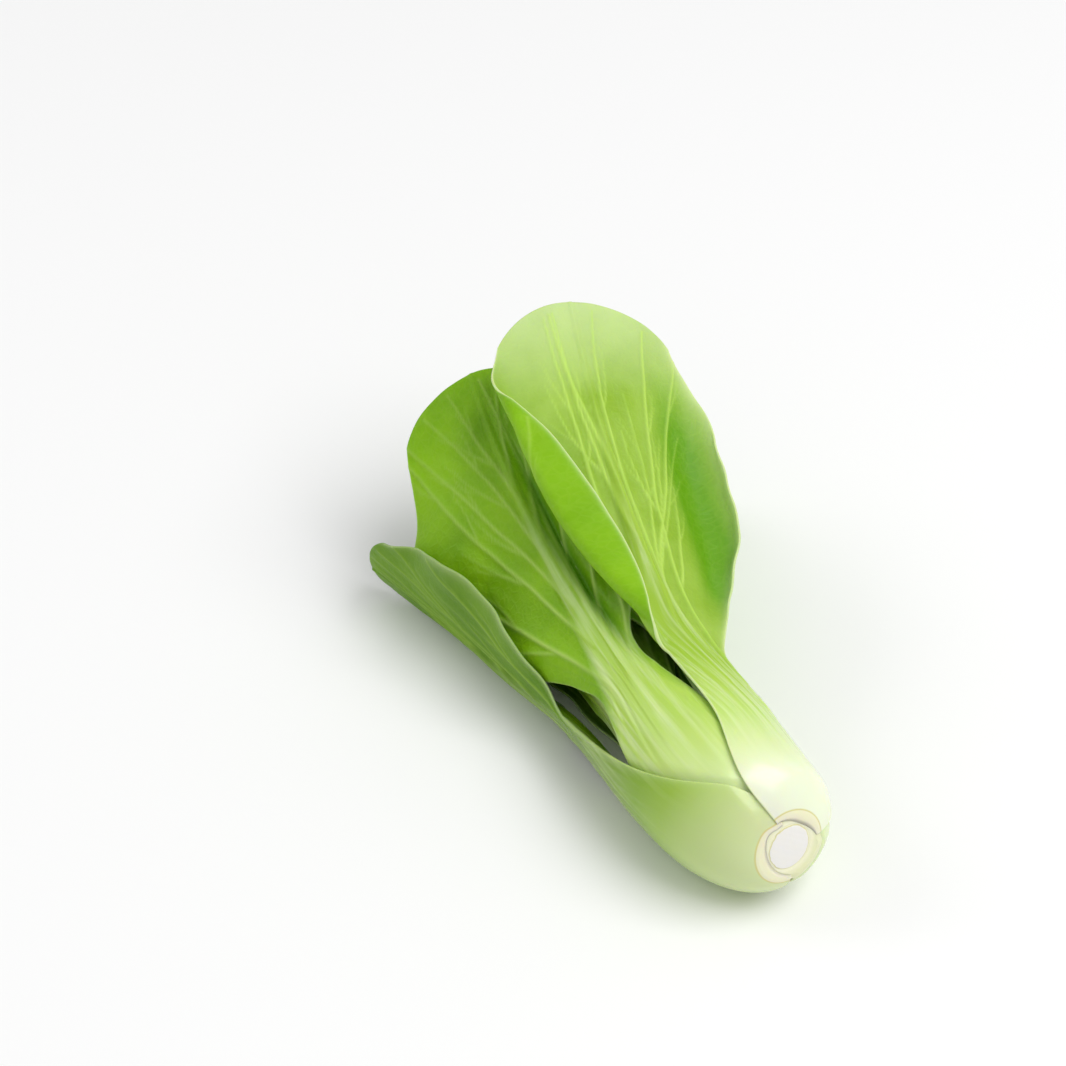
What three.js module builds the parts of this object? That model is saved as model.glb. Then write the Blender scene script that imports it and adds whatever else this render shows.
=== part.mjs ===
// A head of bok choy lying on its side: ten leaves nested round a short cut stem.
//
// The head is drawn about its own axis and then laid down. The height s runs along the
// axis from the cut end, and theta turns round it, 0 on top and growing towards +X.
// A leaf is a thick surface, radius(theta, s), from its foot on the stem to its tip.
// The leaves are listed oldest first, and each one is held inside those before it.
// The finished head lies along +Y on a small flat under its bulb, which is the origin.

import * as THREE from "three";

const { clamp, degToRad, smoothstep } = THREE.MathUtils;

// Driving dimensions of the head, in millimetres
const BUTT_RADIUS = 9.7;
const BULB_RADIUS = 24.3;
const BULB_HEIGHT = 28;
const BULB_FULLNESS = 2.5; // power of the bulb's oval, where 2 is an ellipse
const NECK_RADIUS = 17.5;
const NECK_TAPER = 36;
const BLADE_THICKNESS = 0.8;
const FOOT_THICKNESS = 2.4;
const LEAF_GAP = 1.1;
const BLADE_GAP = 1.9;
const DISC_GAP = 0.9;
const STEM_GAP = 2;
const STEM_LENGTH = 19;
const STEM_RADIUS = 19;
const STEM_SIDES = 36;
const STEM_RINGS = 24;
const STEM_CURVE = 1.6; // power that draws the rings closer at the cut face
const STEM_WALL = 18; // height of the highest ring
const DISC_DEPTH = 0.5; // the cut disc is this thick, with the narrow gap round it
const CORE_DEPTH = 4; // and from this depth on the gap is wide
const BUTT_SHARE = (1 - (BUTT_RADIUS / BULB_RADIUS) ** BULB_FULLNESS) ** (1 / BULB_FULLNESS);

// How the head lies, in millimetres
const AXIS_HEIGHT = 22.8;
const REST_HEIGHT = 29; // height on the axis over the flat that the head rests on
const BUTT_SWING = 26;
const SWING_LENGTH = 70;
const NOSE_LENGTH = 24; // how far up the head its cut end is turned
const NOSE_LIFT = 3;
const NOSE_ASIDE = 1.1;
const TILT_UP = 0.32; // how steeply the cut face leans back
const TILT_ASIDE = 0.22; // how steeply the cut face turns to +X

// How softly drooping blades settle on the surface, in millimetres
const BULB_GIVE = 0.02;
const BLADE_GIVE = 7;
const GIVE_FROM = 45;
const GIVE_FULL = 110;
const SETTLE_SHARE = 0.14;

// Leaf form, in millimetres unless said otherwise
const STALK_STRAIGHT = 30; // the stalk keeps its foot's azimuth up to this height
const BLADE_STRAIGHT = 75; // the blade has its own azimuth from this height on
const SWEEP_FROM = 50;
const LEAN_CURVE = 1.7; // power of the outward lean
const FLARE_LENGTH = 18; // how far up from the butt a foot's flare fades out
const CLASP_CURVE = 1.6; // power of the stalk's narrowing
const ARCH_CURVE = 0.9; // power of the blade's sine arch
const JOIN_CURVE = 4; // power that joins the stalk's width with the blade's
const MIDRIB_FROM = 70;
const MIDRIB_FULL = 105;
const MIDRIB_SHARE = 0.8; // share of the midrib that stands out on the back
const MIDRIB_LENGTH = 75;
const THINNING_FROM = 30;
const RIDGE_CURVE = 1.2; // power of the stalk's rounded section
const RIDGE_MARGIN = 0.6;
const LEAST_RIDGE = 0.2;
const BLADE_BEFORE_WAIST = 10; // the blade's form sets in this far below the waist
const BLADE_PAST_WAIST = 40; // and is full this far above it
const MOST_CUPPING = 1.1; // radians
const MOST_REACH = 1.3; // half widths
const WAVE_CURVE = 2.5; // power of the waves' growth towards the margin
const MARGIN_ROLL_RADIUS = 3.6;
const ROLL_CURVE = 0.8; // power that moves the widest place of the roll down the blade
const LEFT_ROLL_TURN = 2.4; // radians
const RIGHT_ROLL_TURN = 1.9; // radians
const WAVES_ON_MARGIN = 3;
const TIP_ROUNDING = 0.9; // share of the half width over which the tip is rounded off
const TIP_FROM = 0.55; // share of the leaf's length where the rounding starts
const TIP_CURVE = 1.5; // power of the rounding's growth
const LOW_ROWS = 0.2; // share of a leaf's rows that lie below the widest place of the bulb
const SLOPE_LIMIT = 1.25; // how much deeper, at most, a wall is along the radius
const RADIAL_BELOW = 3; // up to this height a wall's depth is taken along the radius
const SQUARE_ABOVE = 14; // and from this height on square to its face
const COLUMN_CURVE = 1.4; // power that draws the columns closer at the margins

// How rough the surfaces are
const STEM_ROUGHNESS = 0.6;
const LEAF_ROUGHNESS = 0.5;

// How leaves make room for one another, in millimetres
const OPEN = 1000; // the room where nothing holds a leaf in
const SKIN_BLEND = 0.7; // rounding where a leaf comes up against its room
const ROOM_BLEND = 0.5; // rounding between the rooms inside two leaves
const BLADES_FROM = 60;
const BLADES_FULL = 110;
const MARGIN_OPENING = 0.12; // how fast the room opens past a margin or a tip
const FOOT_OPENING = 3; // how fast the room opens below a foot

/**
 * Sizes of one leaf. Angles are in degrees: azimuth is where the blade stands and footTurn
 * how far its foot is turned from there, grip is the half angle that the stalk clasps and
 * sweep how far the tip turns aside. Flare is how far the foot's thin edge spreads past the
 * stalk's side. nest is the share of the head's radius at which the
 * leaf grows and lean is how far the blade falls outwards. The waist is where the stalk
 * ends and the blade starts. The blade is widest at the share peak of its length, and at
 * its tip it has lost the share fall of that width.
 */
const LEAF = {
  base: 0, nest: 1, lean: 20, leanFrom: 35, footTurn: 0, grip: 60, neck: 72, sweep: 0,
  thick: 6, waist: 60, waistRight: 60, peak: 0.65, fall: 0.31, rollLeft: 0, rollRight: 0,
  wave: 1.2, flat: 0.35, drop: 16, flareLeft: 0, flareRight: 0, rows: 18, columns: 9,
};
const LEAVES = [
  {
    ...LEAF, azimuth: 15, footTurn: 25, tip: 169, lean: 26, leanFrom: 20, halfLeft: 30,
    halfRight: 35, thick: 6.5, grip: 50, sweep: -1, flat: 0.6, waistRight: 49, peak: 0.56,
    fall: 0.16, rollLeft: 12, rollRight: 9, wave: 0.7, drop: 20, flareLeft: 10, phase: 0,
    rows: 29, columns: 15, colour: 0xaacd5a,
  },
  {
    ...LEAF, azimuth: -112, tip: 154, lean: 23, leanFrom: 22, halfLeft: 27, halfRight: 29,
    thick: 6.5, grip: 68, neck: 62, sweep: 8, waist: 64, waistRight: 64, wave: 1.8,
    flareRight: 32, phase: 1, rows: 25, columns: 13, colour: 0x558f22,
  },
  {
    ...LEAF, azimuth: 108, tip: 164, base: 2, lean: 22, halfLeft: 31, halfRight: 31,
    thick: 6.5, neck: 70, waist: 62, waistRight: 62, phase: 2, rows: 25, columns: 11,
    colour: 0x5f9a28,
  },
  {
    ...LEAF, azimuth: -30, tip: 171, base: 5.6, nest: 0.97, lean: 18, halfLeft: 37,
    halfRight: 27, sweep: 8, waist: 56, waistRight: 64, wave: 2.2, phase: 3, rows: 25,
    columns: 11, colour: 0x6ea528,
  },
  {
    ...LEAF, azimuth: -176, tip: 150, base: 4.2, lean: 4, halfLeft: 26, halfRight: 26,
    thick: 5, neck: 64, phase: 4, rows: 26, columns: 13, colour: 0x5f9a28,
  },
  {
    ...LEAF, azimuth: 56, tip: 156, base: 8, nest: 0.74, lean: 12, halfLeft: 27,
    halfRight: 27, thick: 4.6, neck: 80, phase: 5, colour: 0x66a02a,
  },
  {
    ...LEAF, azimuth: -82, tip: 150, base: 9, nest: 0.68, lean: 10, halfLeft: 25,
    halfRight: 25, thick: 4.2, neck: 80, phase: 6, colour: 0x6aa42c,
  },
  {
    ...LEAF, azimuth: 140, tip: 142, base: 10, nest: 0.6, lean: 5, halfLeft: 22,
    halfRight: 22, thick: 3.8, neck: 80, waist: 58, waistRight: 58, phase: 7,
    colour: 0x70a830,
  },
  {
    ...LEAF, azimuth: 3, tip: 142, base: 11, nest: 0.5, lean: 7, halfLeft: 22,
    halfRight: 22, thick: 3.4, neck: 80, waist: 56, waistRight: 56, phase: 8,
    colour: 0x7cb238,
  },
  {
    ...LEAF, azimuth: -134, tip: 112, base: 12, nest: 0.36, lean: 3, halfLeft: 14,
    halfRight: 14, thick: 2.8, neck: 80, waist: 50, waistRight: 50, wave: 0.4, drop: 11,
    phase: 9, colour: 0x8cbe48,
  },
];

// The smaller of two values, with the corner between them rounded off
function softMin(a, b, blend) {
  const least = Math.min(a, b);
  return least - blend * Math.log(Math.exp((least - a) / blend) + Math.exp((least - b) / blend));
}

// Radius of the whole head: a full-bodied oval cut off at the butt, then a bell to the neck
function headRadius(s) {
  if (s < BULB_HEIGHT) {
    const below = (BUTT_SHARE * (BULB_HEIGHT - s)) / BULB_HEIGHT;
    return BULB_RADIUS * (1 - below ** BULB_FULLNESS) ** (1 / BULB_FULLNESS);
  }
  const above = (s - BULB_HEIGHT) / NECK_TAPER;
  return NECK_RADIUS + (BULB_RADIUS - NECK_RADIUS) * Math.exp(-(above ** 2));
}

// How much deeper a wall is along the radius than straight through it, where it slopes
function slopeFactor(s) {
  const step = 0.01;
  const slope = (headRadius(s + step) - headRadius(s)) / step;
  return Math.min(Math.hypot(1, slope), SLOPE_LIMIT);
}

// Radius of a leaf's middle line
function middleRadius(leaf, s) {
  const beyond = Math.max(s - leaf.leanFrom, 0) / 100;
  return leaf.nest * headRadius(s) + leaf.lean * beyond ** LEAN_CURVE;
}

// Angle of a leaf's middle line: the foot's azimuth eases into the blade's, then sweeps aside
function middleAngle(leaf, s) {
  const foot = leaf.footTurn * (1 - smoothstep(s, STALK_STRAIGHT, BLADE_STRAIGHT));
  const beyond = Math.max(s - SWEEP_FROM, 0) / 100;
  return degToRad(leaf.azimuth + foot + leaf.sweep * beyond ** 2);
}

// Half width of the stalk, which narrows from a wide foot into the midrib
function stalkHalfWidth(leaf, s) {
  const clasp = degToRad(leaf.grip) * Math.exp(-((s / leaf.neck) ** CLASP_CURVE));
  return clasp * leaf.nest * headRadius(s);
}

// Half width of the blade: a sine arch up to its widest place, then a gentle fall
function bladeHalfWidth(leaf, s, side) {
  const waist = side > 0 ? leaf.waistRight : leaf.waist;
  const along = clamp((s - waist) / (leaf.tip - waist), 0, 1);
  const arch = Math.sin((Math.PI / 2) * Math.min(along / leaf.peak, 1)) ** ARCH_CURVE;
  const beyond = Math.max(along - leaf.peak, 0) / (1 - leaf.peak);
  return (side < 0 ? leaf.halfLeft : leaf.halfRight) * (arch - leaf.fall * beyond ** 2);
}

// How far the thin edge of the foot spreads past the stalk's side, to clasp its neighbour
function footFlare(leaf, s, side) {
  const spread = degToRad(side < 0 ? leaf.flareLeft : leaf.flareRight);
  return spread * Math.exp(-((s / FLARE_LENGTH) ** 2)) * leaf.nest * headRadius(s);
}

function halfWidth(leaf, s, side) {
  const stalk = (stalkHalfWidth(leaf, s) + footFlare(leaf, s, side)) ** JOIN_CURVE;
  const blade = bladeHalfWidth(leaf, s, side) ** JOIN_CURVE;
  return (stalk + blade) ** (1 / JOIN_CURVE);
}

// Thickness of a leaf: fleshy across the stalk and midrib, and thin at the blade
function thickness(leaf, across, s) {
  const rise = smoothstep(s, leaf.base, BULB_HEIGHT);
  const fleshy = FOOT_THICKNESS + (leaf.thick - FOOT_THICKNESS) * rise;
  const thinning = Math.exp(-((Math.max(s - THINNING_FROM, 0) / MIDRIB_LENGTH) ** 2));
  const middle = LEAST_RIDGE + (fleshy - BLADE_THICKNESS - LEAST_RIDGE) * thinning;
  const ridgeWidth = stalkHalfWidth(leaf, s) + RIDGE_MARGIN;
  const ridge = Math.max(1 - (across / ridgeWidth) ** 2, 0) ** RIDGE_CURVE;
  return BLADE_THICKNESS + middle * ridge;
}

// Outer radius of a leaf that nothing holds in, with its waved margin and raised midrib
function freeRadius(leaf, turn, s) {
  const across = turn * middleRadius(leaf, s);
  const side = Math.sign(across);
  const reach = Math.min(Math.abs(across) / halfWidth(leaf, s, side), MOST_REACH);
  const blade = smoothstep(s, leaf.waist - BLADE_BEFORE_WAIST, leaf.waist + BLADE_PAST_WAIST);
  const along = (s - leaf.waist) / (leaf.tip - leaf.waist);
  const bend = Math.cos(clamp(turn, -MOST_CUPPING, MOST_CUPPING));
  const cupped = middleRadius(leaf, s) / bend ** (leaf.flat * blade);
  const ripple = Math.sin(2 * Math.PI * WAVES_ON_MARGIN * along + leaf.phase + side);
  const midrib = smoothstep(s, MIDRIB_FROM, MIDRIB_FULL) * MIDRIB_SHARE;
  const ridge = midrib * (thickness(leaf, across, s) - BLADE_THICKNESS);
  return cupped + leaf.wave * blade * reach ** WAVE_CURVE * ripple + ridge;
}

// How far a point lies from the middle line of a leaf, as an angle from -pi to pi
function turnFrom(leaf, theta, s) {
  const turn = theta - middleAngle(leaf, s);
  return turn - 2 * Math.PI * Math.round(turn / (2 * Math.PI));
}

// Outer radius of the leaf at this place in the list, held inside all the older ones
function heldRadius(place, theta, s) {
  const leaf = LEAVES[place];
  const free = freeRadius(leaf, turnFrom(leaf, theta, s), s);
  const gap = LEAF_GAP + (BLADE_GAP - LEAF_GAP) * smoothstep(s, BLADES_FROM, BLADES_FULL);
  return softMin(free, roomInside(place, theta, s, gap), SKIN_BLEND);
}

// Radius that the leaves before this place in the list leave free, less a gap. Past a
// leaf's margin or tip the room opens gently, and below its foot it opens fast.
function roomInside(place, theta, s, gap) {
  let room = OPEN;
  for (let older = 0; older < place; older += 1) {
    const leaf = LEAVES[older];
    const turn = turnFrom(leaf, theta, s);
    const across = turn * middleRadius(leaf, s);
    const outer = softMin(freeRadius(leaf, turn, s), room, SKIN_BLEND);
    const depth = thickness(leaf, across, s) * slopeFactor(s);
    const beside = Math.max(Math.abs(across) - halfWidth(leaf, s, Math.sign(across)), 0);
    const past = beside + Math.max(s - leaf.tip, 0);
    const under = Math.max(leaf.base - s, 0);
    const opening = MARGIN_OPENING * past ** 2 + FOOT_OPENING * under ** 2;
    room = softMin(room, outer - depth - gap + opening, ROOM_BLEND);
  }
  return room;
}

// Height over the surface: what would reach below it settles on it, blades more softly
function settle(height, s) {
  const give = BULB_GIVE + BLADE_GIVE * smoothstep(s, GIVE_FROM, GIVE_FULL);
  const share = height / give;
  const soft = give * (Math.max(share, 0) + Math.log1p(Math.exp(-Math.abs(share))));
  return Math.max(soft - SETTLE_SHARE * give, 0);
}

// A point of the head, laid down with its cut end swung aside and turned up
function layDown(radius, theta, s) {
  const x = radius * Math.sin(theta);
  const z = radius * Math.cos(theta);
  const swing = BUTT_SWING * (Math.exp(-s / SWING_LENGTH) - Math.exp(-REST_HEIGHT / SWING_LENGTH));
  const nose = Math.max(1 - s / NOSE_LENGTH, 0) ** 2;
  const y = s - REST_HEIGHT + (TILT_UP * z + TILT_ASIDE * x) * nose;
  const height = settle(AXIS_HEIGHT + z + NOSE_LIFT * nose, s);
  return new THREE.Vector3(x + swing + NOSE_ASIDE * nose, y, height);
}

// Height of a row, with u from 0 at the foot to 1 at the tip: close rows round the bulb
function rowHeight(leaf, u) {
  const span = BULB_HEIGHT - leaf.base;
  const turn = Math.PI / (2 * LOW_ROWS);
  const low = leaf.base + span * (1 - Math.cos(turn * Math.min(u, LOW_ROWS)));
  const beyond = Math.max(u - LOW_ROWS, 0);
  const high = 1 - LOW_ROWS;
  const growth = (leaf.tip - BULB_HEIGHT - span * turn * high) / high ** 2;
  return low + span * turn * beyond + growth * beyond ** 2;
}

// Where a leaf's surface is at u along it and v across it, with its margins rolled back
function leafPlace(place, u, v) {
  const leaf = LEAVES[place];
  const row = rowHeight(leaf, u);
  const corner = 1 - Math.sqrt(1 - (TIP_ROUNDING * v) ** 2);
  const rounding = corner * smoothstep(u, TIP_FROM, 1) ** TIP_CURVE;
  const s = row - leaf.drop * rounding;
  const side = Math.sign(v);
  const width = halfWidth(leaf, row, side);
  const along = clamp((row - leaf.waist) / (leaf.tip - leaf.waist), 0, 1);
  const rollShare = Math.sin(Math.PI * along ** ROLL_CURVE);
  const rollWidth = (v < 0 ? leaf.rollLeft : leaf.rollRight) * rollShare;
  const fullTurn = v < 0 ? LEFT_ROLL_TURN : RIGHT_ROLL_TURN;
  const flatPart = width - rollWidth;
  const rolled = Math.max(Math.abs(v) * width - flatPart, 0);
  const turn = Math.min(rolled / MARGIN_ROLL_RADIUS, fullTurn);
  const straight = rolled - turn * MARGIN_ROLL_RADIUS;
  const reach = Math.min(Math.abs(v) * width, flatPart)
    + MARGIN_ROLL_RADIUS * Math.sin(turn) + straight * Math.cos(fullTurn);
  const lift = MARGIN_ROLL_RADIUS * (1 - Math.cos(turn)) + straight * Math.sin(fullTurn);
  const theta = middleAngle(leaf, s) + (side * reach) / middleRadius(leaf, s);
  const radius = heldRadius(place, theta, s) + lift;
  return { radius, theta, s, depth: thickness(leaf, v * width, s) };
}

function outerPoint(place, u, v) {
  const { radius, theta, s } = leafPlace(place, u, v);
  return layDown(radius, theta, s);
}

// Outward direction of a leaf's surface, from two small steps along and across it
function outward(place, u, v) {
  const step = 1e-4;
  const nearTip = Math.min(u + step, 1);
  const nearFoot = Math.max(u - step, 0);
  const right = Math.min(v + step, 1);
  const left = Math.max(v - step, -1);
  const along = outerPoint(place, nearTip, v).sub(outerPoint(place, nearFoot, v));
  const across = outerPoint(place, u, right).sub(outerPoint(place, u, left));
  return across.cross(along).normalize();
}

// The point of a leaf's inner face: along the radius at the foot, square to the face above
function innerPoint(place, u, v) {
  const { radius, theta, s, depth } = leafPlace(place, u, v);
  const low = layDown(radius - depth * slopeFactor(s), theta, s);
  const high = layDown(radius, theta, s).addScaledVector(outward(place, u, v), -depth);
  return low.lerp(high, smoothstep(s, RADIAL_BELOW, SQUARE_ABOVE));
}

// A column's place across the leaf, from -1 to 1, with the columns closer at the margins
function columnPlace(column, columns) {
  const even = (2 * column) / (columns - 1) - 1;
  return Math.sign(even) * (1 - (1 - Math.abs(even)) ** COLUMN_CURVE);
}

function closedGeometry(points, triangles) {
  const geometry = new THREE.BufferGeometry().setFromPoints(points);
  geometry.setIndex(triangles);
  geometry.computeVertexNormals();
  return geometry;
}

// Two triangles for a four-cornered patch, given anticlockwise as seen from outside
function patch(a, b, c, d) {
  return [a, b, c, a, c, d];
}

// A leaf as a closed solid: an outer and an inner grid, split alike, joined round the rim
function leafGeometry(place) {
  const { rows, columns } = LEAVES[place];
  const outer = [];
  const inner = [];
  for (let row = 0; row < rows; row += 1) {
    for (let column = 0; column < columns; column += 1) {
      const u = row / (rows - 1);
      const v = columnPlace(column, columns);
      outer.push(outerPoint(place, u, v));
      inner.push(innerPoint(place, u, v));
    }
  }
  const under = outer.length;
  const triangles = [];
  for (let row = 0; row + 1 < rows; row += 1) {
    for (let column = 0; column + 1 < columns; column += 1) {
      const a = row * columns + column;
      const c = a + columns + 1;
      triangles.push(...patch(a, a + 1, c, c - 1));
      triangles.push(...patch(under + a, under + c - 1, under + c, under + a + 1));
    }
  }
  const rim = rimOf(rows, columns);
  rim.forEach((corner, index) => {
    const next = rim[(index + 1) % rim.length];
    triangles.push(...patch(next, corner, under + corner, under + next));
  });
  return closedGeometry([...outer, ...inner], triangles);
}

// The grid's edge as one loop: along the foot, up the right, back over the tip, down the left
function rimOf(rows, columns) {
  const rim = [];
  for (let column = 0; column < columns; column += 1) {
    rim.push(column);
  }
  for (let row = 1; row < rows; row += 1) {
    rim.push(row * columns + columns - 1);
  }
  for (let column = columns - 2; column >= 0; column -= 1) {
    rim.push((rows - 1) * columns + column);
  }
  for (let row = rows - 2; row > 0; row -= 1) {
    rim.push(row * columns);
  }
  return rim;
}

// Radius of the stem: the head's own outline at the butt, and a dome in the room inside
// the leaves' feet
function stemRadius(theta, s) {
  const gap = DISC_GAP + (STEM_GAP - DISC_GAP) * smoothstep(s, DISC_DEPTH, CORE_DEPTH);
  const dome = STEM_RADIUS * Math.sqrt(1 - (s / STEM_LENGTH) ** 2);
  return Math.min(headRadius(s) - gap, dome, roomInside(LEAVES.length, theta, s, gap));
}

function stemGeometry() {
  const points = [layDown(0, 0, 0)];
  for (let ring = 0; ring < STEM_RINGS; ring += 1) {
    const s = STEM_WALL * (ring / (STEM_RINGS - 1)) ** STEM_CURVE;
    for (let side = 0; side < STEM_SIDES; side += 1) {
      const theta = (2 * Math.PI * side) / STEM_SIDES;
      points.push(layDown(stemRadius(theta, s), theta, s));
    }
  }
  const top = points.length;
  points.push(layDown(0, 0, STEM_LENGTH));
  const triangles = [];
  for (let side = 0; side < STEM_SIDES; side += 1) {
    const next = (side + 1) % STEM_SIDES;
    triangles.push(0, 1 + next, 1 + side);
    for (let ring = 0; ring + 1 < STEM_RINGS; ring += 1) {
      const low = 1 + ring * STEM_SIDES;
      const high = low + STEM_SIDES;
      triangles.push(...patch(low + side, low + next, high + next, high + side));
    }
    triangles.push(top, top - STEM_SIDES + side, top - STEM_SIDES + next);
  }
  return closedGeometry(points, triangles);
}

function piece(name, geometry, colour, roughness) {
  const material = new THREE.MeshStandardMaterial({ color: colour, roughness, metalness: 0 });
  material.name = name;
  const mesh = new THREE.Mesh(geometry, material);
  mesh.name = name;
  return mesh;
}

const head = new THREE.Group();
head.name = "bok_choy";
head.add(piece("stem", stemGeometry(), 0xeceadb, STEM_ROUGHNESS));
LEAVES.forEach((leaf, place) => {
  head.add(piece(`leaf_${place + 1}`, leafGeometry(place), leaf.colour, LEAF_ROUGHNESS));
});

export default head;
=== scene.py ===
"""A head of bok choy lying on its side, dressed for a studio picture.

The head is drawn about its own axis and then laid down, as in the solid model. The height
s runs along the axis from the cut end, and theta turns round it, 0 on top and growing
towards +X. A leaf is a thick surface, radius(theta, s), held inside the leaves that grew
before it. Lengths in the formulas are millimetres and angles are radians, unless a name
says degrees; meshes are in metres.
"""

from __future__ import annotations

import logging
import math
from dataclasses import dataclass, field
from enum import Enum
from typing import Any

import bpy
import numpy as np
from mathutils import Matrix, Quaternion, Vector


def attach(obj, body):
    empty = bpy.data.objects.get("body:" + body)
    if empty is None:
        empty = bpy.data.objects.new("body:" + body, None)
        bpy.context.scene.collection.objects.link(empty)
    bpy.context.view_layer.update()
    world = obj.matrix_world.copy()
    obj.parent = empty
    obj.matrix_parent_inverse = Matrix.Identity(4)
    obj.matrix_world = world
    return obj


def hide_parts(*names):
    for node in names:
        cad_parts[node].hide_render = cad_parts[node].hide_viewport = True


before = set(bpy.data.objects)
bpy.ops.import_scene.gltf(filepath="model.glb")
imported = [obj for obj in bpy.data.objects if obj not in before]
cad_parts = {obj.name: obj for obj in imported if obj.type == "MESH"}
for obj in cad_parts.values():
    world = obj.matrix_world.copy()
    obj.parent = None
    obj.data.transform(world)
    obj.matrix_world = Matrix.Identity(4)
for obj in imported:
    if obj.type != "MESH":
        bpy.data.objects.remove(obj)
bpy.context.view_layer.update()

LOG = logging.getLogger("bok_choy")
Array = np.ndarray
Pair = tuple[float, float]
Triple = tuple[float, float, float]
Colour = tuple[float, float, float, float]
Stops = tuple[tuple[float, str], ...]
Piece = bpy.types.Object
Tree = bpy.types.NodeTree
Socket = bpy.types.NodeSocket
MM = 0.001
BODY = "root"
HEIGHT_UNIT = 200.0  # the height in millimetres at which the mark leaf_height is 1
RADIUS_UNIT = 20.0  # the radius in millimetres at which the mark stem_radius is 1


def smoothstep(low: float, high: float, value: Array) -> Array:
    """Eases from 0 at low to 1 at high.

    Args:
        low: value at which the result leaves 0.
        high: value at which the result reaches 1.
        value: values to ease.

    Returns:
        The share t * t * (3 - 2 * t), where t runs evenly from low to high.
    """
    share = np.clip((value - low) / (high - low), 0.0, 1.0)
    return share * share * (3.0 - 2.0 * share)


def fade(low: float, high: float, value: Array) -> Array:
    """Eases from 1 at low to 0 at high."""
    return 1.0 - smoothstep(low, high, value)


def bell(value: Array, width: float | Array) -> Array:
    """A bell curve that is 1 at 0 and 1/e at the width."""
    return np.exp(-((value / width) ** 2))


def past(value: float | Array, limit: float | Array) -> Array:
    """How far a value is past a limit, and 0 before it."""
    return np.clip(value - limit, 0.0, None)


def soft_min(a: Array, b: Array, blend: float) -> Array:
    """The smaller of two values, with the corner between them rounded off.

    Args:
        a: first values.
        b: second values.
        blend: how wide the rounding is, in the values' own unit.

    Returns:
        The least value less blend times the log of the summed exponentials.
    """
    least = np.minimum(a, b)
    return least - blend * np.log(np.exp((least - a) / blend) + np.exp((least - b) / blend))


def wrapped(angle: Array) -> Array:
    """An angle brought to the range from -pi to pi."""
    return angle - 2.0 * np.pi * np.round(angle / (2.0 * np.pi))


@dataclass(frozen=True)
class HeadForm:
    """The outline of the whole head and how it lies.

    The radius follows a full-bodied oval from the cut end to the bulb's widest place, and
    then a bell down to the neck.
    """

    butt_radius: float = 9.7
    bulb_radius: float = 24.3
    bulb_height: float = 28.0
    bulb_fullness: float = 2.5
    neck_radius: float = 17.5
    neck_taper: float = 36.0
    axis_height: float = 22.8
    rest_height: float = 29.0
    butt_swing: float = 26.0
    swing_length: float = 70.0
    nose_length: float = 24.0
    nose_lift: float = 3.0
    nose_aside: float = 1.1
    tilt_up: float = 0.32
    tilt_aside: float = 0.22
    bulb_give: float = 0.02
    blade_give: float = 7.0
    give_from: float = 45.0
    give_to: float = 110.0
    settle_share: float = 0.14
    slope_limit: float = 1.25

    def radius(self, s: Array) -> Array:
        """Radius of the head at each height.

        Args:
            s: heights along the axis.

        Returns:
            An oval of the power bulb_fullness below the bulb's widest place, cut off where
            it reaches the butt's radius, and a bell curve above it.
        """
        power = self.bulb_fullness
        cut = (1.0 - (self.butt_radius / self.bulb_radius) ** power) ** (1.0 / power)
        below = cut * np.clip((self.bulb_height - s) / self.bulb_height, 0.0, 1.0)
        low = self.bulb_radius * (1.0 - below**power) ** (1.0 / power)
        swell = (self.bulb_radius - self.neck_radius) * bell(s - self.bulb_height, self.neck_taper)
        high = self.neck_radius + swell
        return np.where(s < self.bulb_height, low, high)

    def slope_factor(self, s: Array) -> Array:
        """How much deeper a sloping wall is along the radius than straight through it."""
        step = 0.01
        slope = (self.radius(s + step) - self.radius(s)) / step
        return np.minimum(np.hypot(1.0, slope), self.slope_limit)

    def settle(self, height: Array, s: Array) -> Array:
        """Height over the table: what would reach below it settles on it.

        Args:
            height: heights over the table before anything settles.
            s: heights along the axis, since blades give more than the bulb.

        Returns:
            A soft maximum of the height and 0, cut off flat at 0.
        """
        give = self.bulb_give + self.blade_give * smoothstep(self.give_from, self.give_to, s)
        share = height / give
        soft = give * (np.maximum(share, 0.0) + np.log1p(np.exp(-np.abs(share))))
        return np.maximum(soft - self.settle_share * give, 0.0)

    def lay_down(self, radius: Array, theta: Array, s: Array) -> Array:
        """Points of the head, laid down with its cut end swung aside and turned up.

        Args:
            radius: distances from the axis.
            theta: angles round the axis.
            s: heights along the axis.

        Returns:
            Points in the part's frame, in millimetres, in the last axis of the array.
        """
        x, z = radius * np.sin(theta), radius * np.cos(theta)
        at_rest = math.exp(-self.rest_height / self.swing_length)
        swing = self.butt_swing * (np.exp(-s / self.swing_length) - at_rest)
        nose = np.clip(1.0 - s / self.nose_length, 0.0, None) ** 2
        y = s - self.rest_height + (self.tilt_up * z + self.tilt_aside * x) * nose
        height = self.settle(self.axis_height + z + self.nose_lift * nose, s)
        return np.stack([x + swing + self.nose_aside * nose, y, height], axis=-1)


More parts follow.
